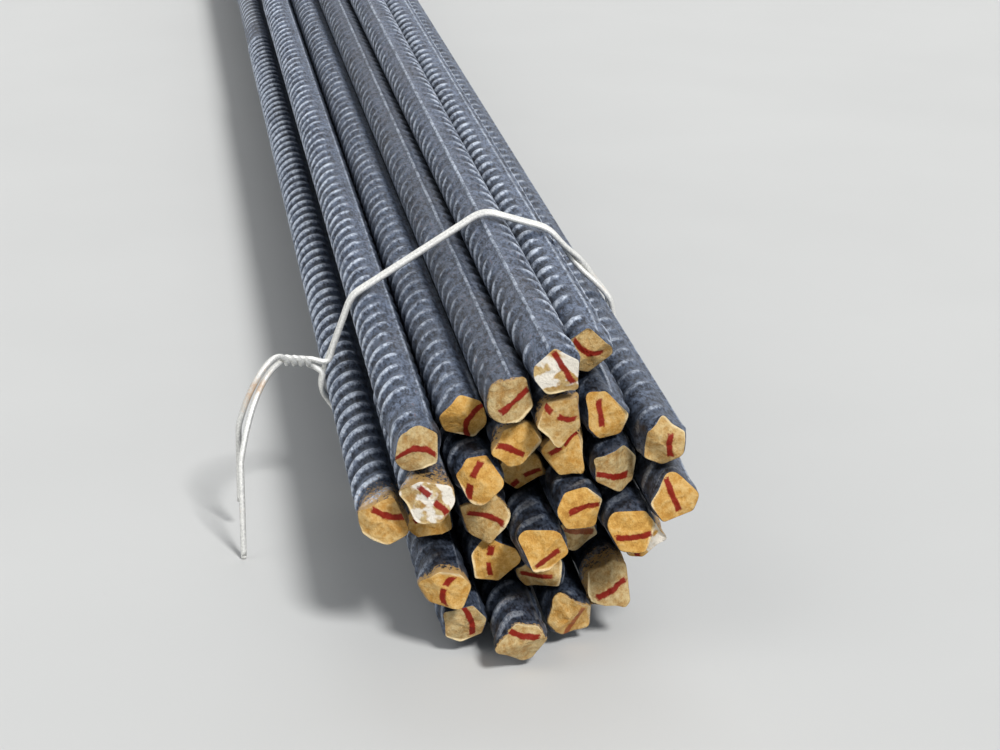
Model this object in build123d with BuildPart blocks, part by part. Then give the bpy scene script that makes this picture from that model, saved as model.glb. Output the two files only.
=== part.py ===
from build123d import *
import os
import random
from math import atan2, ceil, cos, degrees, hypot, pi, radians, sin, sqrt, tan

# Bundle of straight reinforcing bars, held by wire ties. Millimetres.
# The bars lie along Y with their painted ends at both ends of the bundle, Z is up,
# and the origin is on the floor under the middle of the bundle.

# Bars
bar_diameter = 12.0
bar_length = 6000.0
bar_count = 30
bar_gap = 0.3
rib_stand = 0.6

# Stagger of the ends: how far a bar lies forward or back of the bundle's middle
end_stagger = 13.0

# Sheared ends: the tilt of the cut, and the flats that the shear blades press
shear_tilt = 12.0
flat_count = 3
flat_depth = 1.9
flat_reach = 11.0
flat_wander = 25.0
least_share = 0.3

# Wire ties
wire_diameter = 1.6
wire_sides = 6
tie_count = 4
tie_inset = 96.0
least_turn = radians(3)
largest_turn = radians(38)
lap_gap = 0.6
lap_spread = 5.0
lap_partings = 3
lap_wander = 4.0

# Twisted knot of each tie, high on the left side of the bundle, in degrees round from the right
knot_side = 152.0
knot_wander = 12.0
knot_lift = 3.0
twist_length = 13.0
twist_turns = 2
twist_steps = 8
twist_radius = 1.05
twist_outward = 0.5
twist_forward = 0.5

# Loose tails of each tie
tail_length = 60.0
tail_steps = 9
tail_bend = 0.7
tail_droop = 3.0
tail_sway = 0.6
tail_curl = 0.8

# How far a bar wanders from its settled place at each end of the bundle
end_loosening = 0.8

# Settling of the bars in the tied section, in bar spacings
settle_rounds = 400
settle_squeeze = 0.022
settle_weight = 0.012
settle_seed = 4
first_reach = 0.75
first_jitter = 0.3
floor_level = 0.5

bar_spacing = bar_diameter + bar_gap
seat_height = wire_diameter + rib_stand


def spread_apart(places, rounds):
    """Push bars that press into each other apart, and up off the floor."""
    for _ in range(rounds):
        for first in range(len(places)):
            for second in range(first):
                across = places[first][0] - places[second][0]
                up = places[first][1] - places[second][1]
                distance = hypot(across, up)
                if distance < 1:
                    push = (1 - distance) / (2 * distance)
                    places[first][0] += across * push
                    places[first][1] += up * push
                    places[second][0] -= across * push
                    places[second][1] -= up * push
        for place in places:
            place[1] = max(place[1], floor_level)


def settled_places():
    """Places of the bars where a tie pulls them together: (across, up), highest first."""
    chance = random.Random(settle_seed)
    golden_angle = pi * (3 - sqrt(5))
    first_height = first_reach * sqrt(bar_count) + 1
    places = []
    for number in range(bar_count):
        reach = first_reach * sqrt(number + 0.5)
        turn = number * golden_angle
        across = reach * cos(turn) + chance.uniform(-first_jitter, first_jitter)
        up = reach * sin(turn) + chance.uniform(-first_jitter, first_jitter)
        places.append([across, first_height + up])
    for step in range(settle_rounds):
        fade = 1 - step / settle_rounds
        middle = [sum(place[way] for place in places) / bar_count for way in (0, 1)]
        for place in places:
            place[0] -= (place[0] - middle[0]) * settle_squeeze * fade
            place[1] -= ((place[1] - middle[1]) * settle_squeeze + settle_weight) * fade
        spread_apart(places, 2)
    spread_apart(places, settle_rounds)
    centre = (min(place[0] for place in places) + max(place[0] for place in places)) / 2
    centred = [[place[0] - centre, place[1]] for place in places]
    return sorted(centred, key=lambda place: -place[1])


def loosened_places(places, seed):
    """Places of the bars at a loose end of the bundle, in bar spacings."""
    chance = random.Random(seed)
    loosening = end_loosening / bar_spacing
    loose = []
    for across, up in places:
        freedom = min(1.0, up - floor_level)
        loose.append([
            across + chance.uniform(-loosening, loosening),
            up + chance.uniform(-loosening, loosening) * freedom,
        ])
    spread_apart(loose, settle_rounds)
    return loose


def axis_point(number, along):
    """Point on a bar's axis at a distance along Y, between its places at the two ends."""
    part = along / bar_length + 0.5
    front_across, front_up = front_section[number]
    back_across, back_up = back_section[number]
    across = front_across + (back_across - front_across) * part
    up = front_up + (back_up - front_up) * part
    height = seat_height + bar_diameter / 2 + (up - floor_level) * bar_spacing
    return Vector(across * bar_spacing, along, height)


def blade_plane(end_plane, turn, lean, depth):
    """Plane that a shear blade leaves: turned about the bar's axis, leaning, at a depth from it."""
    side = end_plane.x_dir * cos(radians(turn)) + end_plane.y_dir * sin(radians(turn))
    normal = end_plane.z_dir * cos(radians(lean)) + side * sin(radians(lean))
    return Plane(origin=end_plane.origin + side * depth, z_dir=normal)


def make_bar(number):
    """One straight round bar, sheared off at both ends with the flats that the blades press."""
    chance = random.Random(number + 1)
    shift = end_stagger * chance.uniform(-1, 1)
    front_end = axis_point(number, shift - bar_length / 2)
    back_end = axis_point(number, shift + bar_length / 2)
    back_plane = Plane(origin=back_end, z_dir=back_end - front_end)
    front_plane = Plane(origin=front_end, z_dir=front_end - back_end)
    spare = bar_diameter * tan(radians(shear_tilt))
    with BuildPart() as bar:
        with BuildSketch(back_plane.offset(spare)):
            Circle(bar_diameter / 2)
        extrude(amount=-bar_length - 2 * spare)
        for end_plane in (front_plane, back_plane):
            cut_side = chance.uniform(0, 360)
            tilt = shear_tilt * chance.uniform(least_share, 1)
            split(bisect_by=blade_plane(end_plane, cut_side, tilt, 0), keep=Keep.BOTTOM)
            first_side = chance.uniform(0, 360)
            for flat in range(flat_count):
                depth = flat_depth * chance.uniform(least_share, 1)
                wander = chance.uniform(-flat_wander, flat_wander)
                side = first_side + flat * 360 / flat_count + wander
                lean = degrees(atan2(flat_reach, depth))
                press = blade_plane(end_plane, side, lean, bar_diameter / 2 - depth)
                split(bisect_by=press, keep=Keep.BOTTOM)
    bar.part.label = f"bar_{number + 1:02d}"
    return bar.part


def outer_bars(centres):
    """Centres of the bars that a tight wire touches, in order around the bundle."""
    ordered = sorted((point.X, point.Z) for point in centres)
    outline = []
    for row in (ordered, ordered[::-1]):
        side = []
        for point in row:
            while len(side) > 1 and turn_between(side[-2], side[-1], point) < sin(least_turn):
                side.pop()
            side.append(point)
        outline += side[:-1]
    return outline


def turn_between(first, second, third):
    """Sine of the turn to the left at the second of three points."""
    along = (second[0] - first[0], second[1] - first[1])
    onward = (third[0] - second[0], third[1] - second[1])
    return (along[0] * onward[1] - along[1] * onward[0]) / (hypot(*along) * hypot(*onward))


def side_angle(start, stop):
    """Angle, round from the right, of the side that a wire going from start to stop lies on."""
    return atan2(stop[1] - start[1], stop[0] - start[0]) - pi / 2


def lap_points(centres, knot_angle):
    """Corner points of one lap of wire from the knot round to the knot: (angle, across, up)."""
    outline = outer_bars(centres)
    wrap_radius = bar_diameter / 2 + rib_stand + wire_diameter / 2
    points = []
    for number, corner in enumerate(outline):
        start = side_angle(outline[number - 1], corner)
        turn = (side_angle(corner, outline[(number + 1) % len(outline)]) - start) % (2 * pi)
        steps = max(1, ceil(turn / largest_turn))
        reach = wrap_radius / cos(turn / steps / 2)
        for step in range(steps):
            angle = start + turn * (step + 0.5) / steps
            past_knot = (angle - knot_angle) % (2 * pi)
            across = corner[0] + reach * cos(angle)
            up = corner[1] + reach * sin(angle)
            points.append((past_knot, across, up))
    return sorted(points)


def tail_points(strand, lean, sway, length):
    """A loose wire tail: it springs from the end of the twist, bends over and hangs down."""
    heading = (strand[-1] - strand[-2]).normalized()
    point = strand[-1]
    points = []
    for step in range(tail_steps):
        part = (step + 1) / tail_steps
        sideways = sway * cos(part * 2 * pi * tail_curl)
        pull = lean * (1 - part) + Vector(0, sideways, -tail_droop * part)
        heading = (heading + pull.normalized() * tail_bend).normalized()
        point = point + heading * (2 * length * part / (tail_steps + 1))
        points.append(point)
    return points


def make_tie(number, along):
    """One wire, wound twice round the bundle, its ends twisted together and left loose."""
    centres = [axis_point(bar, along) for bar in range(bar_count)]
    chance = random.Random(number + 101)
    knot_angle = radians(knot_side + chance.uniform(-knot_wander, knot_wander))
    lap_pitch = wire_diameter + lap_gap
    lap = lap_points(centres, knot_angle)
    laps = []
    for turn in (0, 1):
        for past_knot, across, up in lap:
            away = sin(past_knot / 2) ** 2
            spread = lap_spread * away * sin(past_knot * lap_partings / 2) ** 2
            place = (turn + past_knot / (2 * pi) - 1) * lap_pitch + (turn - 0.5) * spread
            wander = lap_wander * away * sin(past_knot)
            laps.append(Vector(across, along + place + wander, up))
    outward = Vector(cos(knot_angle), 0, sin(knot_angle))
    round_way = Vector(-sin(knot_angle), 0, cos(knot_angle))
    knot_foot = (laps[0] + laps[-1]) / 2
    knot_foot = Vector(knot_foot.X, along, knot_foot.Z) + outward * (knot_lift + wire_diameter)
    lean = (outward * twist_outward + Vector(0, -twist_forward, 0)).normalized()
    front_way = lean.cross(round_way)
    strands = []
    for side in (1, -1):
        strand = []
        for step in range(twist_turns * twist_steps + 1):
            turn = 2 * pi * step / twist_steps
            offset = (round_way * cos(turn) + front_way * sin(turn)) * twist_radius * side
            reach = twist_length * step / (twist_turns * twist_steps)
            strand.append(knot_foot + lean * reach + offset)
        sway = side * tail_sway * chance.uniform(0.5, 1.5)
        length = tail_length * chance.uniform(0.6, 1)
        strand += tail_points(strand, lean, sway, length)
        strands.append(strand)
    route = strands[0][::-1] + laps + strands[1]
    with BuildPart() as tie:
        with BuildLine():
            Polyline(*route)
        with BuildSketch(Plane(origin=route[0], z_dir=route[1] - route[0])):
            RegularPolygon(wire_diameter / 2, wire_sides)
        sweep(transition=Transition.RIGHT)
    tie.part.label = f"tie_wire_{number + 1}"
    return tie.part


os.makedirs("parts", exist_ok=True)
settled_section = settled_places()
front_section = loosened_places(settled_section, settle_seed + 1)
back_section = loosened_places(settled_section, settle_seed + 2)

for number in range(bar_count):
    bar = make_bar(number)
    export_step(bar, f"parts/{bar.label}.step")

tie_step = (bar_length - 2 * tie_inset) / (tie_count - 1)
for number in range(tie_count):
    tie = make_tie(number, tie_inset - bar_length / 2 + number * tie_step)
    export_step(tie, f"parts/{tie.label}.step")
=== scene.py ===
# %% [markdown]
# A tied bundle of reinforcing bars
#
# This lesson dresses a finished model of thirty steel bars and four wire ties. The model
# gives the size and place of every piece. Blender adds the ribs that the mill rolled into
# the bars, the torn and painted ends, the round wire, and the finish of each surface.

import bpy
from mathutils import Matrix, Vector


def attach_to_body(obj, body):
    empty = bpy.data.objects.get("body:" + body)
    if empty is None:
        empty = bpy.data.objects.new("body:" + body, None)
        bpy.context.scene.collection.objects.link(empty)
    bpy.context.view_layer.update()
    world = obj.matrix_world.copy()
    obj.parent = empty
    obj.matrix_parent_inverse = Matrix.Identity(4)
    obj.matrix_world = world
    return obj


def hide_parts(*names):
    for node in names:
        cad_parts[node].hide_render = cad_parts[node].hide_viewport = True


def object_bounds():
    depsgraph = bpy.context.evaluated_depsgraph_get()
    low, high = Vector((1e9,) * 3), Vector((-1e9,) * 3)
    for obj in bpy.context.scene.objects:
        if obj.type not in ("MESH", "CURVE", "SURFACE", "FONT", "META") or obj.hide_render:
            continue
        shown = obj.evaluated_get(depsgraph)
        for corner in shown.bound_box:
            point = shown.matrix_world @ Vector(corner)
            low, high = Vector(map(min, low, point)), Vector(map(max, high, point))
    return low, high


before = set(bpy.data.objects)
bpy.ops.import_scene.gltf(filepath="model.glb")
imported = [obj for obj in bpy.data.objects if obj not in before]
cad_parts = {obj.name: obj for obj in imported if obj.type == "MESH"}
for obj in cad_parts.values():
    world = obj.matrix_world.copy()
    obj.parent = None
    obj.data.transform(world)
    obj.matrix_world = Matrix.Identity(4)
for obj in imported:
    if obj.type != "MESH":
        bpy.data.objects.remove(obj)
model_low, model_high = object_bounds()
print("model box in metres:", tuple(model_low), tuple(model_high))

# %% The rest of the tools, and the unit that shapes are worked out in
import random
from math import atan2, ceil, cos, degrees, dist, exp, hypot, pi, radians, sin, tanh

import bpy
import numpy as np
from mathutils import Quaternion, Vector

MM = 0.001
FULL_TURN = 2 * pi
BOX_MARGIN = 0.02

bar_names = sorted(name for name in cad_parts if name.startswith("bar_"))
tie_names = sorted(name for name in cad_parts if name.startswith("tie_wire_"))
box_low = np.array(model_low) / MM + BOX_MARGIN
box_high = np.array(model_high) / MM - BOX_MARGIN
print(len(bar_names), "bars and", len(tie_names), "ties")

# %% [markdown]
# The camera
#
# The photograph looks almost along the bars, from a little above them and to their left. The
# camera's direction and distance fix which sides of the bars show and how fast they shrink,
# so they come from the photograph. The lens only sets how much they fill the picture.

# %% Two helpers: a direction, and a new object in the scene
def direction(turn, rise):
    """A way to look, in degrees: turned from the front round to the right, and raised."""
    turn, rise = radians(turn), radians(rise)
    return Vector((sin(turn) * cos(rise), -cos(turn) * cos(rise), sin(rise)))


def add_object(name, data):
    """A new object in the scene."""
    made = bpy.data.objects.new(name, data)
    bpy.context.scene.collection.objects.link(made)
    return made


# %% Put the camera where the photograph was taken from
VIEW_TURN = -9.5
VIEW_RISE = 22.5
VIEW_ROLL = radians(1)
VIEW_DISTANCE = 0.55
VIEW_AIM = Vector((-0.004, 0.0, 0.025))
FRONT_MIDDLE = Vector((0, model_low.y + 0.03, 0.04))
LENS_MM = 82
NEAREST_SEEN = 0.02

camera = add_object("camera", bpy.data.cameras.new("camera"))
camera.location = FRONT_MIDDLE + direction(VIEW_TURN, VIEW_RISE) * VIEW_DISTANCE
towards = FRONT_MIDDLE + VIEW_AIM - camera.location
camera.rotation_mode = "QUATERNION"
camera.rotation_quaternion = towards.to_track_quat("-Z", "Y") @ Quaternion((0, 0, 1), VIEW_ROLL)
camera.data.lens = LENS_MM
camera.data.clip_start = NEAREST_SEEN
bpy.context.scene.camera = camera
print("camera stands at", tuple(round(value, 3) for value in camera.location))

# %% [markdown]
# Reading the bars of the model
#
# Each bar of the model is straight and round, with a sheared end at the front and at the
# back. The ribbed bar that takes its place has to lie on the same axis and stop at the same
# cuts. The model's mesh tells all of that: the axis from the extents of its two ends, the
# cut from the faces that look along the bar, and the flats that the shear pressed from the
# faces that lean out a little.

# %% Read a model mesh as arrays, in millimetres
LEAST_CROSS = 1e-9


def mesh_arrays(node_name):
    """Points of a model node, its triangles, and their normals and areas."""
    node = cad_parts[node_name]
    mesh = node.data
    mesh.calc_loop_triangles()
    points = np.empty(len(mesh.vertices) * 3)
    mesh.vertices.foreach_get("co", points)
    place = np.array(node.matrix_world)
    points = (points.reshape(-1, 3) @ place[:3, :3].T + place[:3, 3]) / MM
    corners = np.empty(len(mesh.loop_triangles) * 3, dtype=np.int32)
    mesh.loop_triangles.foreach_get("vertices", corners)
    triangles = points[corners.reshape(-1, 3)]
    cross = np.cross(triangles[:, 1] - triangles[:, 0], triangles[:, 2] - triangles[:, 0])
    size = np.linalg.norm(cross, axis=1)
    keep = size > LEAST_CROSS
    return points, triangles[keep], cross[keep] / size[keep, None], size[keep] / 2


# %% Find the axis, the cut and the pressed flats of one end
END_FACE_SLOPE = 0.9
FLAT_SLOPE = (0.02, 0.5)
SAME_FLAT = 0.98


def read_end(node_name, side):
    """What the model says of a bar's end: side is -1 for the front and 1 for the back."""
    points, triangles, normals, areas = mesh_arrays(node_name)
    near = points[points[:, 1] * side > 0]
    middles = triangles.mean(axis=1)
    here = middles[:, 1] * side > 0
    facing = normals[:, 1] * side
    cut = here & (facing > END_FACE_SLOPE)
    weight = areas[cut][:, None]
    normal = (normals[cut] * weight).sum(axis=0)
    flats = []
    pressed = here & (facing > FLAT_SLOPE[0]) & (facing < FLAT_SLOPE[1])
    for flat_normal, spot in zip(normals[pressed], middles[pressed]):
        if all(flat_normal @ known < SAME_FLAT for known, _ in flats):
            flats.append((flat_normal, spot))
    return {
        "side": side,
        "axis": (near.min(axis=0) + near.max(axis=0)) / 2,
        "normal": normal / np.linalg.norm(normal),
        "place": (middles[cut] * weight).sum(axis=0) / weight.sum(),
        "flats": flats,
    }


bars = {name: (read_end(name, -1), read_end(name, 1)) for name in bar_names}
flat_total = sum(len(end["flats"]) for ends in bars.values() for end in ends)
print("read", len(bars), "bars with", flat_total, "pressed flats")


# %% Where a bar's axis is at a distance along the bundle
def axis_at(ends, along):
    """Across and up of a bar's axis, at one or many distances along the bundle."""
    front, back = ends
    part = (along - front["place"][1]) / (back["place"][1] - front["place"][1])
    start, stop = front["axis"], back["axis"]
    return tuple(start[way] + (stop[way] - start[way]) * part for way in (0, 2))


# %% [markdown]
# Which bars can be seen
#
# Real ribs need many faces, and half of the bars are hidden inside the bundle. A bar lies
# on the outside if its neighbours leave a wide gap somewhere round it. Those bars get ribs
# over a long run at each end, and the hidden ones only where they reach the open.

# %% Sort the bars into outer and inner ones
SORTED_PLACE = -2950
NEIGHBOUR_REACH = 17.0
OPEN_GAP = radians(118)

front_spots = {name: np.array(axis_at(ends, SORTED_PLACE)) for name, ends in bars.items()}


def is_outer(name):
    """Whether a bar's neighbours leave a gap through which its side can be seen."""
    offsets = [spot - front_spots[name] for spot in front_spots.values()]
    near = [offset for offset in offsets if 0 < np.hypot(*offset) < NEIGHBOUR_REACH]
    angles = sorted(atan2(*offset) for offset in near)
    pairs = zip(angles, angles[1:] + [angles[0] + FULL_TURN])
    return max(after - before for before, after in pairs) > OPEN_GAP


outer_names = {name for name in bar_names if is_outer(name)}
print(len(outer_names), "bars lie on the outside")

# %% [markdown]
# The rolled surface of a bar
#
# A mill rolls two kinds of rib into a bar. Two straight seams run along it where the rolls
# meet, and two rows of slanted crescents between them grip the concrete. One formula gives
# the height of the surface at any angle and distance along the bar. The mesh needs few
# faces if its rings of points zigzag round the bar just as the crescents do.

# %% The rib pattern as one formula
BAR_RADIUS = 6.0
CORE_RADIUS = 5.5
RIB_HEIGHT = 1.05
RIB_PITCH = 8.0
RIB_SLANT = 4.2
RIB_TOP = 0.75
RIB_FOOT = 2.2
RIB_STRENGTHS = (0.6, 0.75, 0.9, 1.0)
CRESCENT_ENDS = 0.25
CRESCENT_RISE = 0.55
CRESCENT_POWER = 0.8
SEAM_HEIGHT = 0.62
SEAM_TOP = 0.3
SEAM_FOOT = 0.8
ZIGZAG_SHARPNESS = 0.995


def smooth_step(low, high, value):
    """0 below low, 1 above high, and a smooth rise between them."""
    part = np.clip((value - low) / (high - low), 0, 1)
    return part * part * (3 - 2 * part)


def slant_at(around):
    """How far along the bar a crescent lies at an angle: a zigzag that turns at the seams."""
    return RIB_SLANT * (2 / pi) * np.arcsin(np.sin(around) * ZIGZAG_SHARPNESS)


def seam_height(around):
    """Height of the two seams, which lie a quarter turn either side of angle 0."""
    off_seam = np.abs(np.arcsin(np.clip(np.cos(around), -1, 1))) * CORE_RADIUS
    return SEAM_HEIGHT * (1 - smooth_step(SEAM_TOP, SEAM_FOOT, off_seam))


def crescent_share(around):
    """How high the crescents stand at an angle: 0 by the seams and 1 between them."""
    share = np.clip((np.abs(np.cos(around)) - CRESCENT_ENDS) / CRESCENT_RISE, 0, 1)
    return share ** CRESCENT_POWER


def rib_height(along, around, phase, strength):
    """Height of the relief above the core, in millimetres: worn rolls press it lower."""
    step = (along - slant_at(around) - phase) / RIB_PITCH
    off_crest = np.abs(step - np.round(step)) * RIB_PITCH
    crest = 1 - smooth_step(RIB_TOP, RIB_FOOT, off_crest)
    crescent = RIB_HEIGHT * strength * crest * crescent_share(around)
    return np.maximum(crescent, seam_height(around))


# %% Angles of the points in a ring: close together at the two seams
PLAIN_STEPS = 17


def ring_angles():
    """Angles round the bar, with the four corners of each seam among them."""
    foot, top = SEAM_FOOT / CORE_RADIUS, SEAM_TOP / CORE_RADIUS
    plain = [foot + (pi - 2 * foot) * step / PLAIN_STEPS for step in range(PLAIN_STEPS)]
    one_side = [pi / 2 + angle for angle in [-foot, -top, top] + plain]
    return np.array(one_side + [angle + pi for angle in one_side])


COARSE_ANGLES = ring_angles()
next_angles = np.append(COARSE_ANGLES[1:], COARSE_ANGLES[0] + FULL_TURN)
FINE_ANGLES = np.stack([COARSE_ANGLES, (COARSE_ANGLES + next_angles) / 2], axis=1).ravel()
print(len(COARSE_ANGLES), "points in a ring along the bar,", len(FINE_ANGLES), "near an end")

# %% [markdown]
# The sheared ends
#
# A shear doesn't cut cleanly. Its blades first press the bar into a rough polygon, then the
# steel tears across on a slant, and a burr is left standing on one corner. So near an end
# the radius is held down by several flats, those of the model and a few more between them.
# Adding the flats as a sum of high powers rounds the corners, as on pressed steel.

# %% Draw one end's own features by chance
def end_shape(end, chance):
    """Extra flats, burr, lip and facets of one sheared end."""
    taken = sorted(atan2(normal[2], normal[0]) % FULL_TURN for normal, _ in end["flats"])
    own_flats = []
    for _ in range(chance.choice((1, 2, 2, 3))):
        pairs = zip(taken, taken[1:] + [taken[0] + FULL_TURN])
        width, before = max((after - before, before) for before, after in pairs)
        turn = (before + width * chance.uniform(0.4, 0.6)) % FULL_TURN
        own_flats.append((turn, chance.uniform(4.7, 5.7), chance.uniform(2.5, 6)))
        taken = sorted(taken + [turn])
    first = chance.uniform(0, FULL_TURN)
    facets = []
    for turn in (first, first + pi):
        turn += chance.uniform(-0.7, 0.7)
        facets.append((turn, chance.uniform(0.2, 0.75), chance.uniform(-1.0, 3.2)))
    waves = [
        (chance.randint(2, 5), chance.uniform(0, FULL_TURN), chance.uniform(0.05, 0.16))
        for _ in range(3)
    ]
    return {
        "own_flats": own_flats,
        "facets": facets,
        "waves": waves,
        "flare": chance.uniform(0.3, 0.8),
        "burr_reach": chance.choice((0.1, 0.4, 0.8, 1.3)),
        "burr_width": chance.uniform(0.16, 0.36),
        "lip_turn": chance.uniform(0, FULL_TURN),
        "lip": chance.uniform(0.15, 0.8),
        "dish": chance.uniform(-0.2, 0.3),
    }


# %% The pressed outline of an end
POLYGON_POWER = 24
FLARE_DEPTH = 2.2
BURR_DEPTH = 1.6
NEAREST_FLAT = 1
WIDEST_END = 7.3


def angle_between(first, second):
    """Size of the smaller angle between two directions."""
    return np.abs((first - second + pi) % FULL_TURN - pi)


def outline_radius(ends, end, shape, turns, depth, steel_radius):
    """Radius of the bar at a depth behind the end: the rolled one, held down by the flats."""
    along = end["place"][1] - end["side"] * depth
    across, up = axis_at(ends, along)
    flared = steel_radius + shape["flare"] * exp(-depth / FLARE_DEPTH)
    inverse = (1 / flared) ** POLYGON_POWER
    for normal, spot in end["flats"]:
        gap = normal @ (spot - np.array([across, along, up]))
        facing = normal[0] * np.cos(turns) + normal[2] * np.sin(turns)
        inverse = inverse + (np.maximum(facing, 0) / max(gap, NEAREST_FLAT)) ** POLYGON_POWER
    for turn, first_gap, reach in shape["own_flats"]:
        gap = first_gap + (CORE_RADIUS + RIB_HEIGHT - first_gap) * depth / reach
        facing = np.cos(turns - turn)
        inverse = inverse + (np.maximum(facing, 0) / gap) ** POLYGON_POWER
    radius = inverse ** (-1 / POLYGON_POWER)
    away = angle_between(turns, turns[np.argmax(radius)]) / shape["burr_width"]
    burr = shape["burr_reach"] * np.exp(-away ** 2) * exp(-depth / BURR_DEPTH)
    return np.minimum(radius + burr, WIDEST_END)


# %% [markdown]
# The torn face
#
# The face of the cut is one slanted plane in the model. On the real bar it breaks into two
# or three facets that meet in a crease, it is a little dished or swollen, and a thin lip
# stands along one side of it.

# %% How far each spot of the torn face lies behind the end
DEEPEST_FACET = 2.8
LIP_SPREAD = 0.75
BRIGHT_SPREAD = 1.3
DULL_EDGE = 2.0


def face_depth(end, shape, across, up):
    """How far behind the middle of the cut the torn face lies, for offsets from the axis."""
    normal = end["normal"]
    tilt = (normal[0] * across + normal[2] * up) / normal[1] * end["side"]
    torn = np.zeros_like(across)
    for turn, slope, gap in shape["facets"]:
        reach = across * cos(turn) + up * sin(turn)
        torn = np.maximum(torn, (reach - gap) * slope)
    dish = shape["dish"] * (1 - (np.hypot(across, up) / CORE_RADIUS) ** 2)
    return tilt + np.minimum(torn, DEEPEST_FACET) + dish


def lip_share(shape, turns, spread):
    """1 in the middle of the lip, falling to 0 round the edge."""
    return np.exp(-(angle_between(turns, shape["lip_turn"]) / spread) ** 2)


def rim_distance(shape, turns, share):
    """Distance from the bright part of the edge, for a share of the way out to the edge."""
    dull = 1 - lip_share(shape, turns, BRIGHT_SPREAD)
    return (1 - share) * CORE_RADIUS + dull * DULL_EDGE


# %% [markdown]
# Building one bar
#
# A bar is a stack of rings of points. Near an end the rings lie close together and have
# twice as many points, because that is where the outline changes. Then come rings that
# follow the crescents, five to a crescent. The long middle needs only a few rings, as its
# crescents are left to the finish. Each point also carries numbers for the finish: how high
# it stands on a rib, how far it is from the end and from the bright part of the edge, and
# whether the finish makes its ribs.

# %% A stack of rings
FAR = 500.0


def side_by_side(count, *columns):
    """Arrays, or numbers that hold for all rows, as the columns of one array."""
    return np.stack([np.broadcast_to(column, count) for column in columns], axis=1)


class RingStack:
    """Rings of points along one bar, with the numbers that its finish needs."""

    def __init__(self, ends):
        self.ends = ends
        self.points = []
        self.notes = []
        self.rings = []
        self.size = 0

    def add_block(self, block, *notes):
        """Add a ring as it is: rib heights, distances from the end, plainness, edge distances."""
        self.rings.append((self.size, len(block)))
        self.points.append(block)
        self.notes.append(side_by_side(len(block), *notes))
        self.size += len(block)

    def add(self, along, radius, turns, high, depth, plain, rim=FAR):
        """Add a ring round the axis: distances along, radii and angles, then its numbers."""
        across, up = axis_at(self.ends, along)
        x, z = across + radius * np.cos(turns), up + radius * np.sin(turns)
        self.add_block(np.stack([x, along, z], axis=1), high, depth, plain, rim)


# %% Rings of a sheared end
END_ZONE = 13.5
END_DEPTHS = (
    0.0, 0.2, 0.5, 1.0, 1.7, 2.5, 3.3, 4.1, 4.9,
    5.7, 6.5, 7.4, 8.3, 9.2, 10.2, 11.3, 12.4, 13.5,
)
RIBS_BEGIN = 2.5
LEAST_RIB = 0.3
LIP_DEPTH = 0.5
EDGE_ROUND = 0.15


def add_end(stack, end, shape, rolled, depths):
    """Rings of one end: at depth 0 they follow the torn face, at the last one the crescents."""
    roll, phase, strength = rolled
    turns = FINE_ANGLES + roll
    for depth in depths:
        blend = smooth_step(0, END_ZONE, depth)
        soft = smooth_step(0, RIBS_BEGIN, depth)
        plain = outline_radius(stack.ends, end, shape, turns, depth, CORE_RADIUS)
        torn = face_depth(end, shape, plain * np.cos(turns), plain * np.sin(turns))
        torn = torn - shape["lip"] * lip_share(shape, turns, LIP_SPREAD) * exp(-depth / LIP_DEPTH)
        along = end["place"][1] - end["side"] * (depth + torn * (1 - blend))
        along = along + slant_at(FINE_ANGLES) * blend
        high = rib_height(along, FINE_ANGLES, phase, strength)
        steel = CORE_RADIUS + high * (LEAST_RIB + (1 - LEAST_RIB) * soft)
        radius = outline_radius(stack.ends, end, shape, turns, depth, steel)
        radius = radius - EDGE_ROUND * exp(-depth / EDGE_ROUND)
        rim = FAR if depth else rim_distance(shape, turns, 1)
        stack.add(along, radius, turns, high / RIB_HEIGHT * soft, depth, 0, rim)


# %% Rings along the crescents, and the few of the long middle
CREST_STOPS = (-RIB_FOOT, -RIB_TOP, RIB_TOP, RIB_FOOT, RIB_PITCH / 2)
OUTER_RUNS = (520, 150)
INNER_RUNS = (60, 40)
MIDDLE_STEP = 330


def add_run(stack, low, high, rolled, edge):
    """Rings that follow the crescents between two distances; edge is where the bar ends."""
    roll, phase, strength = rolled
    first = ceil((low - phase + RIB_FOOT) / RIB_PITCH)
    last = int(np.floor((high - phase - RIB_PITCH / 2) / RIB_PITCH))
    for number in range(first, last + 1):
        for stop in CREST_STOPS:
            along = phase + number * RIB_PITCH + stop + slant_at(COARSE_ANGLES)
            height = rib_height(along, COARSE_ANGLES, phase, strength)
            radius, high = CORE_RADIUS + height, height / RIB_HEIGHT
            stack.add(along, radius, COARSE_ANGLES + roll, high, np.abs(along - edge), 0)


def add_middle(stack, low, high, roll):
    """Rings of the long middle, where only the seams have a shape."""
    height = seam_height(COARSE_ANGLES)
    for along in np.linspace(low, high, max(2, round((high - low) / MIDDLE_STEP))):
        line = along + slant_at(COARSE_ANGLES)
        stack.add(line, CORE_RADIUS + height, COARSE_ANGLES + roll, height / RIB_HEIGHT, FAR, 1)


# %% Rings across a torn face
FACE_SHARES = (0.96, 0.87, 0.75, 0.61, 0.46, 0.3, 0.14)
WAVE_SWELL = 4


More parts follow.
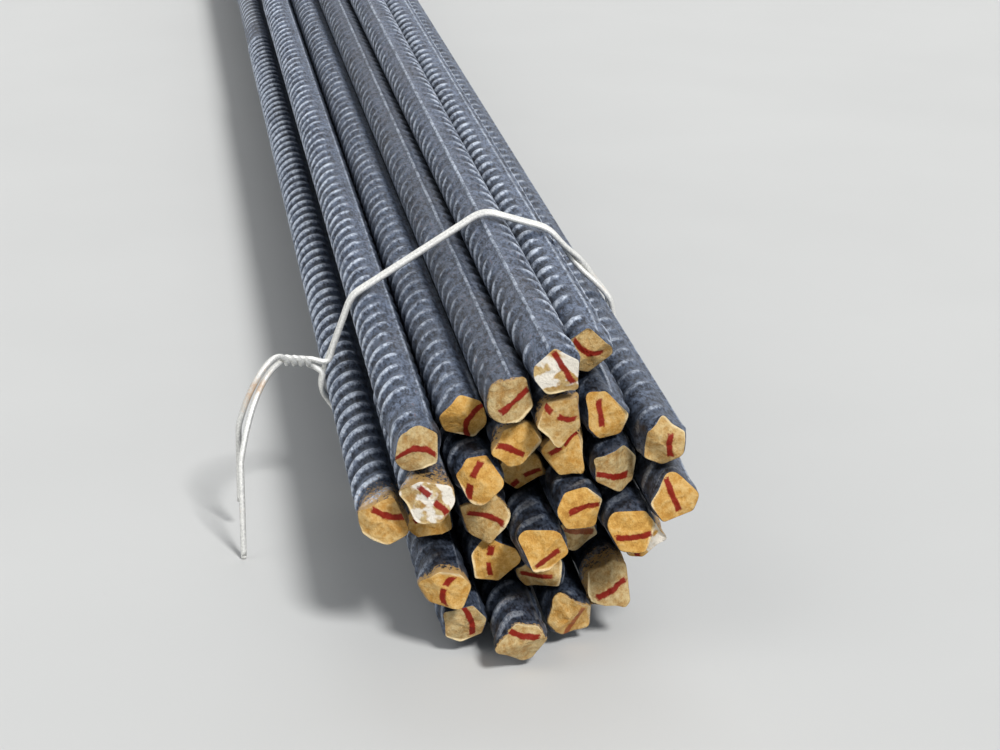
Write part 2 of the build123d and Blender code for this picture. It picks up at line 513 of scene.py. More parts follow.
def add_face(stack, end, shape, roll, edge_ring):
    """Rings of points across the torn face, inside the ring at its edge, and its middle."""
    turns = FINE_ANGLES + roll
    across, up = axis_at(stack.ends, end["place"][1])
    edge = stack.points[edge_ring]
    edge_radius = np.hypot(edge[:, 0] - across, edge[:, 2] - up)
    waves = sum(size * np.cos(count * turns + start) for count, start, size in shape["waves"])
    for share in FACE_SHARES + (0.0,):
        if not share:
            turns, edge_radius, waves = turns[:1], edge_radius[:1], waves[:1]
        x, z = edge_radius * share * np.cos(turns), edge_radius * share * np.sin(turns)
        depth = face_depth(end, shape, x, z) + waves * share * (1 - share) * WAVE_SWELL
        block = np.stack([across + x, end["place"][1] - end["side"] * depth, up + z], axis=1)
        stack.add_block(block, 0, 0, 0, rim_distance(shape, turns, share))


# %% Join two rings with faces
def turned(faces):
    """The same faces, looking the other way."""
    return [face[::-1] for face in faces]


def strip_faces(first, first_count, second, second_count):
    """Faces between two rings of points, of which one may have twice as many points."""
    if first_count < second_count:
        return turned(strip_faces(second, second_count, first, first_count))
    here = np.arange(second_count)
    ahead = (here + 1) % second_count
    if first_count == second_count:
        rows = [(first + here, first + ahead, second + ahead, second + here)]
    else:
        even, odd, next_even = 2 * here, 2 * here + 1, (2 * here + 2) % first_count
        rows = [
            (first + even, first + odd, second + here),
            (first + odd, second + ahead, second + here),
            (first + odd, first + next_even, second + ahead),
        ]
    return [face for row in rows for face in np.stack(row, axis=1).tolist()]


def ring_faces(rings):
    """Faces between each ring and the next, for rings given as (first point, count)."""
    return [face for here, there in zip(rings, rings[1:]) for face in strip_faces(*here, *there)]


def fan_faces(ring, count, tip):
    """Faces from a ring of points to one point."""
    here = np.arange(count)
    row = (ring + here, ring + (here + 1) % count, np.full(count, tip))
    return np.stack(row, axis=1).tolist()


# %% Build a bar's mesh from its rings
END_GAP = 1
MIDDLE_GAP = 40
SEAM_SIDE = 42
ROLL_WANDERS = (10, 18, 26, 70)


def build_bar(name, chance):
    """Mesh of one ribbed bar with its torn ends, and the numbers that its finish needs."""
    front, back = bars[name]
    wander = chance.choice(ROLL_WANDERS) * chance.uniform(-1, 1)
    roll = radians(SEAM_SIDE + wander) - pi / 2
    phase = chance.uniform(0, RIB_PITCH)
    rolled = (roll, phase, chance.choice(RIB_STRENGTHS))
    shapes = [end_shape(end, chance) for end in (front, back)]
    runs = OUTER_RUNS if name in outer_names else INNER_RUNS
    front_along, back_along = front["place"][1], back["place"][1]
    run_end = front_along + END_ZONE + runs[0]
    run_start = back_along - END_ZONE - runs[1]
    stack = RingStack((front, back))
    add_end(stack, front, shapes[0], rolled, END_DEPTHS)
    add_run(stack, front_along + END_ZONE + END_GAP, run_end, rolled, front_along)
    add_middle(stack, run_end + MIDDLE_GAP, run_start - MIDDLE_GAP, roll)
    add_run(stack, run_start, back_along - END_ZONE - END_GAP, rolled, back_along)
    add_end(stack, back, shapes[1], rolled, END_DEPTHS[::-1])

    # The points run clockwise round the bar as seen from its front. So the faces of its
    # side and of its back end are turned, and every face looks outwards.
    side_rings = list(stack.rings)
    faces = turned(ring_faces(side_rings))
    marks = [0] * len(faces)
    for end, shape, edge_ring in ((front, shapes[0], 0), (back, shapes[1], len(side_rings) - 1)):
        add_face(stack, end, shape, roll, edge_ring)
        rings = [side_rings[edge_ring]] + stack.rings[-len(FACE_SHARES) - 1:-1]
        face_rows = ring_faces(rings) + fan_faces(*rings[-1], stack.rings[-1][0])
        faces += face_rows if end is front else turned(face_rows)
    marks += [1] * (len(faces) - len(marks))
    return {
        "points": np.clip(np.concatenate(stack.points), box_low, box_high),
        "faces": faces,
        "marks": marks,
        "notes": np.concatenate(stack.notes),
        "rolled": rolled,
    }


# %% Turn arrays into a Blender object
def attach(mesh, name, *columns):
    """Write three numbers for each point of a mesh."""
    values = side_by_side(len(mesh.vertices), *columns)
    attribute = mesh.attributes.new(name, "FLOAT_VECTOR", "POINT")
    attribute.data.foreach_set("vector", values.astype(np.float32).ravel())


def place_object(name, points, faces, materials, marks=None):
    """A mesh object in the scene, smooth, with its materials and the mark of each face."""
    mesh = bpy.data.meshes.new(name)
    mesh.from_pydata((points * MM).tolist(), [], faces)
    for material in materials:
        mesh.materials.append(material)
    if marks is not None:
        mesh.polygons.foreach_set("material_index", marks)
    mesh.polygons.foreach_set("use_smooth", [True] * len(mesh.polygons))
    mesh.update()
    return add_object(name, mesh)


# %% [markdown]
# Shader maths as Python
#
# A finish is a net of small nodes, and wiring each one by hand hides what it works out. A
# small class that wraps an output and understands plus, minus and times lets a mask be
# written as a sum. One method makes every other node from its kind, settings and inputs.

# %% A node output that can be used in a sum
class Value:
    """The output of a node, for use in Python expressions."""

    def __init__(self, finish, output):
        self.finish = finish
        self.output = output

    def maths(self, operation, *values, clamp=False):
        """A Math node that works on these values."""
        settings = {"operation": operation, "use_clamp": clamp}
        return self.finish.node("ShaderNodeMath", settings, dict(enumerate(values)))

    def __add__(self, other):
        return self.maths("ADD", self, other)

    def __radd__(self, other):
        return self.maths("ADD", other, self)

    def __sub__(self, other):
        return self.maths("SUBTRACT", self, other)

    def __rsub__(self, other):
        return self.maths("SUBTRACT", other, self)

    def __mul__(self, other):
        return self.maths("MULTIPLY", self, other)

    def __rmul__(self, other):
        return self.maths("MULTIPLY", other, self)

    def __truediv__(self, other):
        return self.maths("DIVIDE", self, other)

    def __abs__(self):
        return self.maths("ABSOLUTE", self)

    def highest(self, other):
        """The larger of this and another."""
        return self.maths("MAXIMUM", self, other)

    def sine(self):
        """The sine of this, taken as an angle in radians."""
        return self.maths("SINE", self)

    def clamped(self):
        """This, held between 0 and 1."""
        return self.maths("ADD", self, 0.0, clamp=True)

    def rise(self, low, high):
        """0 where this is below low, 1 above high, and a smooth rise between."""
        settings = {"interpolation_type": "SMOOTHSTEP"}
        inputs = {"Value": self, "From Min": low, "From Max": high}
        return self.finish.node("ShaderNodeMapRange", settings, inputs)


# %% A net of nodes built from such outputs
def linear(red, green, blue):
    """A colour as seen on a screen, from 0 to 255, as the linear colour that Blender uses."""
    parts = []
    for part in (red / 255, green / 255, blue / 255):
        parts.append(part / 12.92 if part <= 0.04045 else ((part + 0.055) / 1.055) ** 2.4)
    return (*parts, 1.0)


class Finish:
    """The nodes of a material, or of the world, built one at a time."""

    def __init__(self, owner):
        self.owner = owner
        owner.use_nodes = True
        self.tree = owner.node_tree
        self.tree.nodes.clear()

    def node(self, kind, settings=None, inputs=None, output=0):
        """Add a node: its settings first, then the values or links of its inputs."""
        made = self.tree.nodes.new(kind)
        for name, value in (settings or {}).items():
            setattr(made, name, value)
        for key, value in (inputs or {}).items():
            if isinstance(value, Value):
                self.tree.links.new(value.output, made.inputs[key])
            else:
                made.inputs[key].default_value = value
        return Value(self, made.outputs[output]) if len(made.outputs) else None

    def blend(self, mask, first, second):
        """The first colour where the mask is 0, and the second where it is 1."""
        inputs = {0: mask, 6: first, 7: second}
        return self.node("ShaderNodeMix", {"data_type": "RGBA"}, inputs, output=2)

    def vector_maths(self, operation, inputs):
        """A Vector Math node that works on these inputs."""
        return self.node("ShaderNodeVectorMath", {"operation": operation}, inputs)

    def note(self, name):
        """The three numbers that the mesh carries under a name."""
        inputs = {0: self.node("ShaderNodeAttribute", {"attribute_name": name}, output=1)}
        return [self.node("ShaderNodeSeparateXYZ", None, inputs, output=way) for way in range(3)]

    def noise(self, place, scale, detail=3, rough=0.6):
        """Soft noise between 0 and 1. A scale of 1000 has patches of about a millimetre."""
        inputs = {"Vector": place, "Scale": scale, "Detail": detail, "Roughness": rough}
        return self.node("ShaderNodeTexNoise", None, inputs)

    def surface(self, inputs, bumps=()):
        """The shader itself, with a stack of (height, depth in metres) bumps."""
        for height, depth in bumps:
            below = {"Normal": inputs["Normal"]} if "Normal" in inputs else {}
            bump = self.node("ShaderNodeBump", None, {"Height": height, "Distance": depth, **below})
            inputs = {**inputs, "Normal": bump}
        shader = self.node("ShaderNodeBsdfPrincipled", None, inputs)
        self.node("ShaderNodeOutputMaterial", None, {"Surface": shader})
        return self.owner


# %% [markdown]
# Hot-rolled steel
#
# The skin of a hot-rolled bar is mill scale: blue-grey, slightly glossy, and mottled where
# it has flaked. Brown dust gathers between the ribs. Painted shade darkens the nooks between
# two bars and a band beside each rib. The crests are lighter, partly rubbed and partly a
# painted highlight. Noise at several sizes gives the mottling, and the rib height that each
# point carries tells crests from hollows. Paint that missed the end lies behind it as a torn
# film and then as specks.

# %% The finish of the bars
RIB_SHADE_SHIFT = 3.0
ROLLED_OUT = (1.0, 0.45, 1.0)


def make_bar_finish():
    """Mill scale with crests that are rubbed and carry a painted highlight, brown dust, painted
    shade beside the ribs and between bars, and a little stray paint at the ends.
    """
    finish = Finish(bpy.data.materials.new("mill_scale_steel"))
    place = finish.node("ShaderNodeTexCoord", output=3)
    rib, depth, plain = finish.note("bar_notes")
    tone, rust, spray = finish.note("bar_mood")
    relief, along, nook_shade = finish.note("bar_place")

    rolled = finish.vector_maths("MULTIPLY", {0: place, 1: ROLLED_OUT})
    fine = finish.noise(rolled, 2100)
    blots = finish.noise(rolled, 1000)
    patches = finish.noise(place, 220)
    broad = finish.noise(place, 45, detail=2, rough=0.5)
    wave = along / RIB_PITCH * FULL_TURN + pi / 2
    far_rib = wave.sine().rise(0.1, 0.9) * relief * plain
    crest = rib.rise(0.15, 0.95).highest(far_rib)
    # Painted shade: a dark band in the hollow beside each crescent, where a shadow would fall.
    rib_shade = (wave + RIB_SHADE_SHIFT / RIB_PITCH * FULL_TURN).sine().rise(-0.1, 1.0) * relief

    mottle = (fine * 0.6 + blots * 0.7 + patches * 0.3 - 0.3).rise(0.33, 0.67)
    valley = finish.blend(mottle, linear(12, 20, 36), linear(106, 119, 141))
    # The crests are lighter partly from wear and partly as a painted highlight, where a rib would
    # catch the light.
    rubbed_and_highlit_colour = finish.blend(mottle, linear(112, 123, 143), linear(202, 211, 224))
    wear_and_highlight = (crest * 1.25 + (blots - 0.5) * 0.9 + (patches - 0.5) * 1.4 - 0.2).clamped()
    rub_and_highlight = wear_and_highlight * crest.rise(0.0, 0.6)
    colour = finish.blend(rub_and_highlight, valley, rubbed_and_highlit_colour)
    dusty = ((broad - 0.5) * 2.5 + (patches - 0.5) * 1.5 + rust - 0.35 - crest * 0.6).clamped()
    colour = finish.blend(dusty * 0.3, colour, linear(108, 102, 92))
    rusty = (blots + rust * 0.12 - crest * 0.05).rise(0.66, 0.78)
    colour = finish.blend(rusty * 0.45, colour, linear(118, 84, 58))
    # The bar's own tone, times the painted shade beside each rib and in the nooks between bars.
    shade = tone * (1 - rib_shade * 0.55) * (1 - nook_shade * 0.9)
    colour = finish.vector_maths("SCALE", {0: colour, "Scale": shade})

    specks = finish.noise(place, 1300, rough=0.7)
    cover = (spray - depth) / (spray + 1.0) * 1.2 - spray * 0.02
    sprayed = (cover + (specks - 0.5) * 2.2 + (patches - 0.5) * 0.8 - 0.35).rise(0.0, 0.3)
    colour = finish.blend(sprayed * 0.75, colour, linear(196, 156, 92))

    rough = 0.40 + fine * 0.22 + dusty * 0.2 + rusty * 0.2 + sprayed * 0.15 - rub_and_highlight * 0.10
    metal = (0.25 + rub_and_highlight * 0.25 - dusty * 0.2 - rusty * 0.3 - sprayed * 0.4).clamped()
    bumps = [(far_rib, 0.0008), (fine, 0.00007), (blots, 0.00009)]
    inputs = {"Base Color": colour, "Roughness": rough, "Metallic": metal}
    return finish.surface({**inputs, "Specular IOR Level": 0.35}, bumps)


# %% [markdown]
# Amber paint with a red stroke
#
# The paint lies thin on torn steel, so its colour wanders from amber to tan, and turns to
# cream along the sharp edges. The stroke is a second paint, dark red and nearly straight,
# and here and there it has a clean break. The mesh tells each point how far it is along the
# stroke and across it, in millimetres.

# %% The finish of the painted ends
STROKE_HALF_WIDTH = 0.74


def make_paint_finish():
    """Amber paint, worn to tan and cream, with one dark red stroke."""
    finish = Finish(bpy.data.materials.new("painted_end"))
    place = finish.node("ShaderNodeTexCoord", output=3)
    stroke_along, stroke_across, rim = finish.note("end_place")
    amber_share, white_share, stroke_half = finish.note("end_mood")
    break_place, break_half, stroke_strength = finish.note("stroke_mood")

    grain = finish.noise(place, 2600, detail=4, rough=0.65)
    clouds = finish.noise(place, 420, rough=0.55)
    streaks = finish.noise(place, 900)
    cloudy = (clouds * 0.6 + streaks * 0.4 + grain * 0.4 - 0.2).rise(0.3, 0.7)
    colour = finish.blend(cloudy, linear(186, 134, 60), linear(232, 184, 100))
    tan = finish.blend(cloudy, linear(140, 118, 84), linear(212, 190, 142))
    tanned = ((1 - amber_share) + (clouds - 0.5) * 1.3 + (streaks - 0.5) * 0.8).clamped()
    colour = finish.blend(tanned, colour, tan)
    edge = 1 - (rim + (grain - 0.5) * 0.8 + (clouds - 0.5) * 1.2).rise(0.2, 0.95)
    colour = finish.blend(edge * 0.8, colour, linear(246, 226, 180))
    patch = finish.noise(place, 300, detail=2, rough=0.5)
    white = (patch + white_share - 0.95).rise(-0.05, 0.05)
    colour = finish.blend(white * 0.9, colour, linear(240, 234, 222))
    grime = (grain * 0.6 + clouds * 0.6).rise(0.66, 0.85)
    colour = finish.blend(grime * 0.4, colour, linear(126, 94, 54))

    off_line = abs(stroke_across + (clouds - 0.5) * 1.2) + (grain - 0.5) * 0.4
    inside = 1 - off_line.rise(STROKE_HALF_WIDTH - 0.2, STROKE_HALF_WIDTH + 0.2)
    length = 1 - (abs(stroke_along) - stroke_half + (grain - 0.5) * 1.4).rise(-0.3, 0.4)
    unbroken = (abs(stroke_along - break_place) - break_half + grain - 0.5).rise(-0.2, 0.3)
    thin = (streaks * 0.6 + grain * 0.4).rise(0.3, 0.5)
    red = inside * length * unbroken * (stroke_strength + thin * 0.25).clamped()
    colour = finish.blend(red * 0.97, colour, linear(132, 14, 3))

    rough = 0.55 + grain * 0.2 - red * 0.05
    bumps = [(clouds, 0.0006), (streaks, 0.0003), (grain, 0.00014)]
    inputs = {"Base Color": colour, "Roughness": rough, "Specular IOR Level": 0.2}
    return finish.surface(inputs, bumps)


bar_finish = make_bar_finish()
paint_finish = make_paint_finish()
print("finishes:", bar_finish.name, paint_finish.name)

# %% [markdown]
# The thirty bars
#
# Each bar is drawn from its own seed, so it keeps its shape whatever happens to the others.
# The stroke, the paint's colour and the stray paint on the sides are drawn by chance too,
# end by end, and written into the mesh for the finish to read.

# %% Draw the paint of one end by chance
SPRAY_REACHES = (0, 0, 0, 0.5, 1.0, 2.0, 5.0, 20.0)
AMBER_SHARES = (0.25, 0.45, 0.65, 0.8, 0.95, 1.0)
WHITE_SHARES = (0,) * 7 + (0.2, 0.22, 0.45)
STROKE_BENDS = (0, 0, 0.05, -0.05, 0.1)
STROKE_BREAKS = (-1,) * 7 + (0.3, 0.8)
STROKE_STRENGTHS = (0.5, 0.75, 0.9, 1, 1)


def draw_paint(chance, x, z):
    """Paint numbers of one end, for points at these offsets from the bar's axis."""
    turn = chance.uniform(0, pi)
    along = x * cos(turn) + z * sin(turn) - chance.uniform(-1.2, 1.2)
    across = z * cos(turn) - x * sin(turn) - chance.uniform(-1.9, 1.9)
    return {
        "along": along,
        "across": across + chance.choice(STROKE_BENDS) * along ** 2,
        "spray": chance.choice(SPRAY_REACHES),
        "amber": chance.choice(AMBER_SHARES),
        "white": chance.choice(WHITE_SHARES),
        "half": chance.uniform(2.8, 4.9),
        "break": chance.choice(STROKE_BREAKS),
        "break_place": chance.uniform(-1.8, 1.8),
        "strength": chance.choice(STROKE_STRENGTHS),
    }


# %% Painted shade: how deep in the nook between two bars each point lies
NOOK_SHADE_WIDTH = 1.7


def nook_shade_share(name, points):
    """How strong the painted shade in the nook is: 1 where a point touches the next bar, falling to
    0 where it lies open.
    """
    nearest = np.full(len(points), FAR)
    for other, ends in bars.items():
        if other != name:
            across, up = axis_at(ends, points[:, 1])
            nearest = np.minimum(nearest, np.hypot(points[:, 0] - across, points[:, 2] - up))
    return np.exp(-np.maximum(nearest - BAR_RADIUS, 0) / NOOK_SHADE_WIDTH)


# %% Build, paint and hang every bar
BAR_SEED = 4000


def dress_bar(number, name):
    """Build one bar, write its numbers for the finish, and put it in the model's place."""
    chance = random.Random(BAR_SEED + number)
    bar = build_bar(name, chance)
    points = bar["points"]
    finishes = [bar_finish, paint_finish]
    piece = place_object(name + "_ribbed", points, bar["faces"], finishes, bar["marks"])
    across, up = axis_at(bars[name], points[:, 1])
    x, z = points[:, 0] - across, points[:, 2] - up
    high, depth, plain, rim = bar["notes"].T
    roll, phase, strength = bar["rolled"]
    around = np.arctan2(z, x) - roll
    relief = crescent_share(around) * strength
    straight = points[:, 1] - slant_at(around) - phase
    tone, rust = chance.uniform(0.8, 1.15), chance.uniform(0, 0.8) ** 2
    front_paint, back_paint = draw_paint(chance, x, z), draw_paint(chance, x, z)
    at_front = points[:, 1] < 0
    paint = {key: np.where(at_front, front_paint[key], back_paint[key]) for key in front_paint}
    mesh = piece.data
    attach(mesh, "bar_notes", high, depth, plain)
    attach(mesh, "bar_mood", tone, rust, paint["spray"])
    # The third number of bar_place is the strength of the painted shade in the nooks between bars.
    attach(mesh, "bar_place", relief, straight, nook_shade_share(name, points))
    attach(mesh, "end_place", paint["along"], paint["across"], rim)
    attach(mesh, "end_mood", paint["amber"], paint["white"], paint["half"])
    attach(mesh, "stroke_mood", paint["break_place"], paint["break"], paint["strength"])
    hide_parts(name)
    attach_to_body(piece, "root")
    return piece


ribbed_bars = [dress_bar(number, name) for number, name in enumerate(bar_names)]
counts = [sum(len(face.vertices) - 2 for face in bar.data.polygons) for bar in ribbed_bars]
print(len(ribbed_bars), "bars built with", sum(counts), "triangles, at most", max(counts))

# %% [markdown]
# The wire ties
#
# Each tie is one wire, wound twice round the bundle and twisted at the side, with its two
# ends left loose. It lies on the outermost bars and runs straight from one to the next, so
# its way round is that of a string round pegs: the outline of the bars' centres, moved out.

# %% The bars that the wire touches
RIB_STAND = 0.6
WIRE_RADIUS = 0.8
LEAST_TURN = radians(3)
WRAP_RADIUS = BAR_RADIUS + RIB_STAND + WIRE_RADIUS


def turn_between(first, second, third):
    """Sine of the turn to the left at the second of three points."""
    along = (second[0] - first[0], second[1] - first[1])
    onward = (third[0] - second[0], third[1] - second[1])
    cross = along[0] * onward[1] - along[1] * onward[0]
    return cross / (hypot(*along) * hypot(*onward))


def touched_bars(centres):
    """Centres of the bars that a tight wire touches, in order round the bundle."""
    ordered = sorted(centres)
    outline = []
    for row in (ordered, ordered[::-1]):
        side = []
        for point in row:
            while len(side) > 1 and turn_between(side[-2], side[-1], point) < sin(LEAST_TURN):
                side.pop()
            side.append(point)
        outline += side[:-1]
    return outline


# %% The way round the bundle: an arc on each bar and a straight run to the next
ARC_STEP = radians(9)
RUN_STEP = 4.0


def side_angle(start, stop):
    """Angle, round from the right, of the side that a wire from start to stop lies on."""
    return atan2(stop[1] - start[1], stop[0] - start[0]) - pi / 2


def lap_path(centres, knot_angle):
    """One lap from the knot round to it: (angle past the knot, angle, across, up)."""
    outline = touched_bars(centres)
    path = []
    for number, corner in enumerate(outline):
        after = outline[(number + 1) % len(outline)]
        start = side_angle(outline[number - 1], corner)
        turn = (side_angle(corner, after) - start) % FULL_TURN
        steps = max(2, ceil(turn / ARC_STEP))
        spots = [(corner, start + turn * step / steps) for step in range(steps + 1)]
        pieces = max(1, round(dist(corner, after) / RUN_STEP))
        for step in range(1, pieces):
            part = step / pieces
            middle = [here + (there - here) * part for here, there in zip(corner, after)]
            spots.append((middle, start + turn))
        for middle, angle in spots:
            across = middle[0] + WRAP_RADIUS * cos(angle)
            up = middle[1] + WRAP_RADIUS * sin(angle)
            path.append(((angle - knot_angle) % FULL_TURN, angle, across, up))
    first = min(range(len(path)), key=lambda index: path[index][0])
    return path[first:] + path[:first]


# %% Where the two strands cross: on the longest straight run at the top right
CROSSING_SIDES = (20, 80)


def crossing_place(path, distances):
    """How far round from the knot the middle of that straight run lies."""
    runs = {}
    for spot, distance in zip(path, distances):
        if CROSSING_SIDES[0] < degrees(spot[1]) % 360 < CROSSING_SIDES[1]:
            runs.setdefault(round(spot[0], 4), []).append(distance)
    longest = max(runs.values(), key=lambda run: run[-1] - run[0])
    return (longest[0] + longest[-1]) / 2


# %% How far a strand lies to the side, and how far it is lifted or pressed in
STRAND_GAP = 1.7
STRAND_LIFT = 0.85
LAP_SPREAD = 3.4
LAP_WANDER = 4.0
CROSSING_REACH = 4.0
LIFT_REACH = 5.0
SPREAD_PLACE = -15.0
SPREAD_REACH = 9.0


def strand_offset(strand, past_knot, past_crossing):
    """Offset along the bundle and outwards, for strand 0 or 1 of a tie."""
    side = 1 if strand else -1
    gap = STRAND_GAP + LAP_SPREAD * exp(-((past_crossing - SPREAD_PLACE) / SPREAD_REACH) ** 2)
    wander = LAP_WANDER * sin(past_knot / 2) ** 2 * sin(past_knot)
    along = wander - side * tanh(past_crossing / CROSSING_REACH) * gap / 2
    lift = side * STRAND_LIFT * exp(-(past_crossing / LIFT_REACH) ** 2)
    return along, lift


# %% Loose tails
TAIL_STEPS = 9
TAIL_BEND = 0.7
TAIL_DROOP = 3.0
TAIL_CURL = 0.8


def tail_path(strand, lean, sway, length):
    """A loose tail: it springs from the end of the twist, bends over and hangs down."""
    heading = (strand[-1] - strand[-2]).normalized()
    point = strand[-1]
    path = []
    for step in range(TAIL_STEPS):
        part = (step + 1) / TAIL_STEPS
        sideways = sway * cos(part * FULL_TURN * TAIL_CURL)
        pull = lean * (1 - part) + Vector((0, sideways, -TAIL_DROOP * part))
        heading = (heading + pull.normalized() * TAIL_BEND).normalized()
        point = point + heading * (2 * length * part / (TAIL_STEPS + 1))
        path.append(point)
    return path


# %% The whole route of one wire
TIE_SEED = 101
TIE_INSET = 96.0
HALF_LENGTH = 3000.0
KNOT_SIDE = 152
KNOT_WANDER = 12
KNOT_LIFT = 4.6
TWIST_LENGTH = 13.0
TWIST_TURNS = 2
TWIST_STEPS = 12
TWIST_RADIUS = 0.84
TWIST_FORWARD = Vector((0, -0.5, 0))
TWIST_OUTWARD = 0.5
TAIL_LENGTH = 60.0
TAIL_SWAY = 0.6


def wire_route(number, along):
    """Points along the middle of one wire, from tip to tip."""
    centres = [axis_at(bars[name], along) for name in bar_names]
    chance = random.Random(number + TIE_SEED)
    knot_angle = radians(KNOT_SIDE + chance.uniform(-KNOT_WANDER, KNOT_WANDER))
    path = lap_path(centres, knot_angle)
    steps = [dist(here[2:], there[2:]) for here, there in zip(path, path[1:])]
    distances = np.concatenate([[0], np.cumsum(steps)])
    crossing = crossing_place(path, distances)
    laps = []
    for strand in (0, 1):
        for (past_knot, angle, across, up), distance in zip(path, distances):
            offset, lift = strand_offset(strand, past_knot, distance - crossing)
            x, z = across + lift * cos(angle), up + lift * sin(angle)
            laps.append(Vector((x, along + offset, z)))
    outward = Vector((cos(knot_angle), 0, sin(knot_angle)))
    round_way = Vector((-sin(knot_angle), 0, cos(knot_angle)))
    foot = (laps[0] + laps[-1]) / 2 + outward * KNOT_LIFT
    lean = (outward * TWIST_OUTWARD + TWIST_FORWARD).normalized()
    front_way = lean.cross(round_way)
    strands = []
    for side in (1, -1):
        strand = []
        for step in range(TWIST_TURNS * TWIST_STEPS + 1):
            turn = FULL_TURN * step / TWIST_STEPS
            way = round_way * cos(turn) + front_way * sin(turn)
            reach = TWIST_LENGTH * step / (TWIST_TURNS * TWIST_STEPS)
            strand.append(foot + lean * reach + way * TWIST_RADIUS * side)
        sway = side * TAIL_SWAY * chance.uniform(0.5, 1.5)
        strand += tail_path(strand, lean, sway, TAIL_LENGTH * chance.uniform(0.6, 1))
        strands.append(strand)
    return strands[0][::-1] + laps + strands[1]


# %% Smooth the route
WIRE_STEP = 1.3
LEAST_GAP = 0.4


def smooth_route(route):
    """Evenly spaced points on a smooth line through the route."""
    knots = [np.array(route[0])]
    for point in route[1:]:
        if np.linalg.norm(np.array(point) - knots[-1]) > LEAST_GAP:
            knots.append(np.array(point))
    knots = np.array(knots)
    distance = np.concatenate([[0], np.cumsum(np.linalg.norm(np.diff(knots, axis=0), axis=1))])
    slopes = np.gradient(knots, distance, axis=0)
    wanted = np.linspace(0, distance[-1], int(distance[-1] / WIRE_STEP))
    index = np.clip(np.searchsorted(distance, wanted, side="right") - 1, 0, len(knots) - 2)
    width = (distance[index + 1] - distance[index])[:, None]
    part = (wanted - distance[index])[:, None] / width
    square, cube = part ** 2, part ** 3
    start = knots[index] * (2 * cube - 3 * square + 1)
    start = start + slopes[index] * width * (cube - 2 * square + part)
    stop = knots[index + 1] * (3 * square - 2 * cube) + slopes[index + 1] * width * (cube - square)
    return start + stop


# %% Skin the line with a round tube
WIRE_SIDES = 8
FIRST_SIDE = (0.3, 0.2, 0.9)


def tube(path):
    """Points and faces of a round wire along a path, closed at both tips."""
    ahead = np.gradient(path, axis=0)
    ahead /= np.linalg.norm(ahead, axis=1)[:, None]
    side = np.cross(ahead[0], FIRST_SIDE)
    turns = (np.arange(WIRE_SIDES) * FULL_TURN / WIRE_SIDES)[:, None]
    points = []
    for middle, heading in zip(path, ahead):
        side = side - heading * side.dot(heading)
        side /= np.linalg.norm(side)
        other = np.cross(heading, side)
        points.append(middle + WIRE_RADIUS * (np.cos(turns) * side + np.sin(turns) * other))
    points = np.concatenate(points + [path[:1], path[-1:]])
    rings = [(number * WIRE_SIDES, WIRE_SIDES) for number in range(len(path))]
    near_tip = turned(fan_faces(*rings[0], len(points) - 2))
    far_tip = fan_faces(*rings[-1], len(points) - 1)
    return points, ring_faces(rings) + near_tip + far_tip


# %% [markdown]
# Galvanised wire
#
# The tie wire is thin, pale and slightly glossy, with a tan bloom of rust in places.

# %% The finish of the wire
def make_wire_finish():
    """Pale zinc with a tan bloom."""
    finish = Finish(bpy.data.materials.new("pale_tie_wire"))
    place = finish.node("ShaderNodeTexCoord", output=3)
    fine = finish.noise(place, 1800)
    broad = finish.noise(place, 55)
    colour = finish.blend(fine.rise(0.3, 0.7), linear(212, 212, 208), linear(246, 245, 240))
    rusty = (broad + (fine - 0.5) * 0.3).rise(0.60, 0.74)
    colour = finish.blend(rusty * 0.7, colour, linear(190, 146, 94))
    rough = 0.34 + fine * 0.15 + rusty * 0.25
    inputs = {"Base Color": colour, "Roughness": rough, "Metallic": 0.3 - rusty * 0.3}
    return finish.surface(inputs, [(fine, 0.00005)])


wire_finish = make_wire_finish()

# %% Build every tie
tie_step = 2 * (HALF_LENGTH - TIE_INSET) / (len(tie_names) - 1)
for number, name in enumerate(tie_names):
    path = smooth_route(wire_route(number, TIE_INSET - HALF_LENGTH + number * tie_step))
    path = np.clip(path, box_low + WIRE_RADIUS, box_high - WIRE_RADIUS)
    points, faces = tube(path)
    piece = place_object(name + "_round", points, faces, [wire_finish])
    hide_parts(name)
    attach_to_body(piece, "root")
    length = np.linalg.norm(np.diff(path, axis=0), axis=1).sum()
    print(piece.name, "is", round(length), "mm of wire")

# %% [markdown]
# The studio
#
# A plain pale floor and soft light show the bundle. The bars are six metres long, so the
# lamps are suns with a wide disc, which light both ends alike and still cast soft shadows.
# The main one stands in front, as in the photograph, and catches the fronts of the ribs and
# the painted ends.

# %% Floor
FLOOR_HALF = 40.0

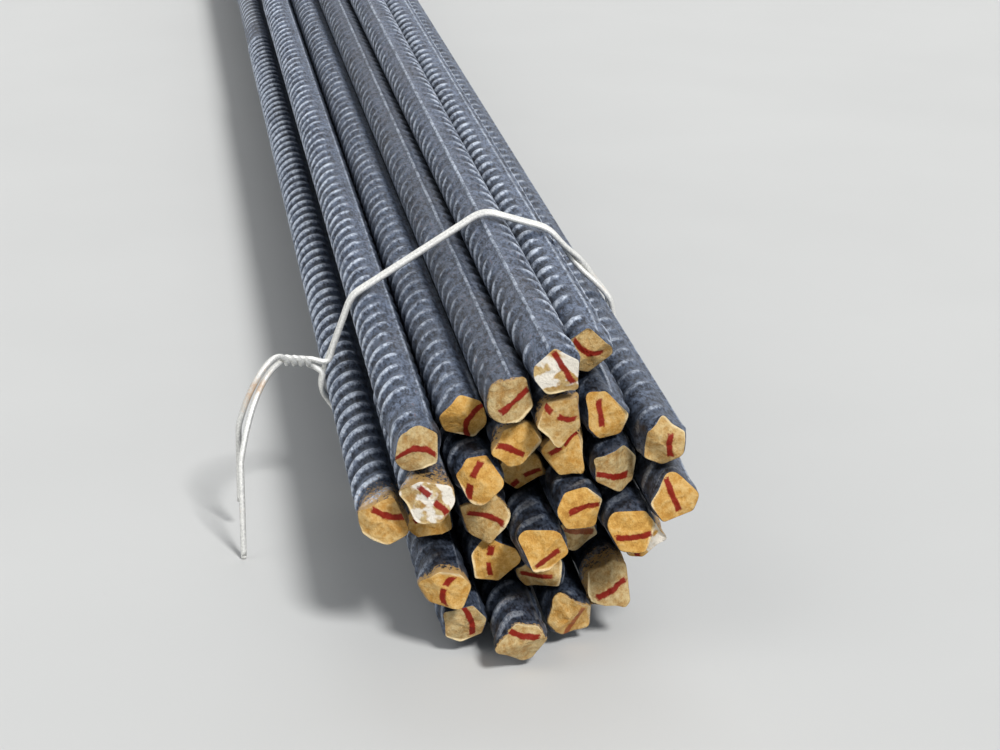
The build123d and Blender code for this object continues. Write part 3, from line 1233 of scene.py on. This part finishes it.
finish = Finish(bpy.data.materials.new("pale_floor"))
place = finish.node("ShaderNodeTexCoord", output=3)
mottle = finish.noise(place, 9, rough=0.5)
colour = finish.blend(mottle, linear(206, 206, 204), linear(214, 214, 212))
floor_finish = finish.surface({"Base Color": colour, "Roughness": 0.85})
corners = np.array([(-1, -1, 0), (1, -1, 0), (1, 1, 0), (-1, 1, 0)]) * FLOOR_HALF / MM
floor = place_object("floor", corners, [(0, 1, 2, 3)], [floor_finish])
print("laid", floor.name)

# %% Lamps
SUN_DISTANCE = 5


def add_sun(name, turn, rise, strength, disc):
    """A soft sun that shines from a direction, with a disc so many degrees wide."""
    data = bpy.data.lights.new(name, "SUN")
    data.energy = strength
    data.angle = radians(disc)
    lamp = add_object(name, data)
    place = direction(turn, rise)
    lamp.location = place * SUN_DISTANCE
    lamp.rotation_euler = place.to_track_quat("Z", "Y").to_euler()
    return lamp


lamps = [
    add_sun("front_sun", turn=20, rise=48, strength=2.7, disc=12),
    add_sun("left_sun", turn=-75, rise=45, strength=0.45, disc=40),
    add_sun("back_sun", turn=160, rise=50, strength=0.45, disc=40),
]
print(len(lamps), "lamps")

# %% Surroundings: a dim, cool sky, seen as white by the camera and in reflections
COOL_LIGHT = (0.90, 0.95, 1.0, 1.0)
WHITE = (1.0, 1.0, 1.0, 1.0)
GLOW = 0.24
SEEN_BY = ("Camera", "Glossy", "Transmission")

sky = Finish(bpy.data.worlds.new("studio"))
bpy.context.scene.world = sky.owner
glow = sky.node("ShaderNodeBackground", None, {"Color": COOL_LIGHT, "Strength": GLOW})
white = sky.node("ShaderNodeBackground", None, {"Color": WHITE, "Strength": 1.0})
rays = [sky.node("ShaderNodeLightPath", output=f"Is {kind} Ray") for kind in SEEN_BY]
seen = rays[0].highest(rays[1]).highest(rays[2])
shown = sky.node("ShaderNodeMixShader", None, {0: seen, 1: glow, 2: white})
sky.node("ShaderNodeOutputWorld", None, {"Surface": shown})
bpy.context.scene.view_settings.view_transform = "Standard"
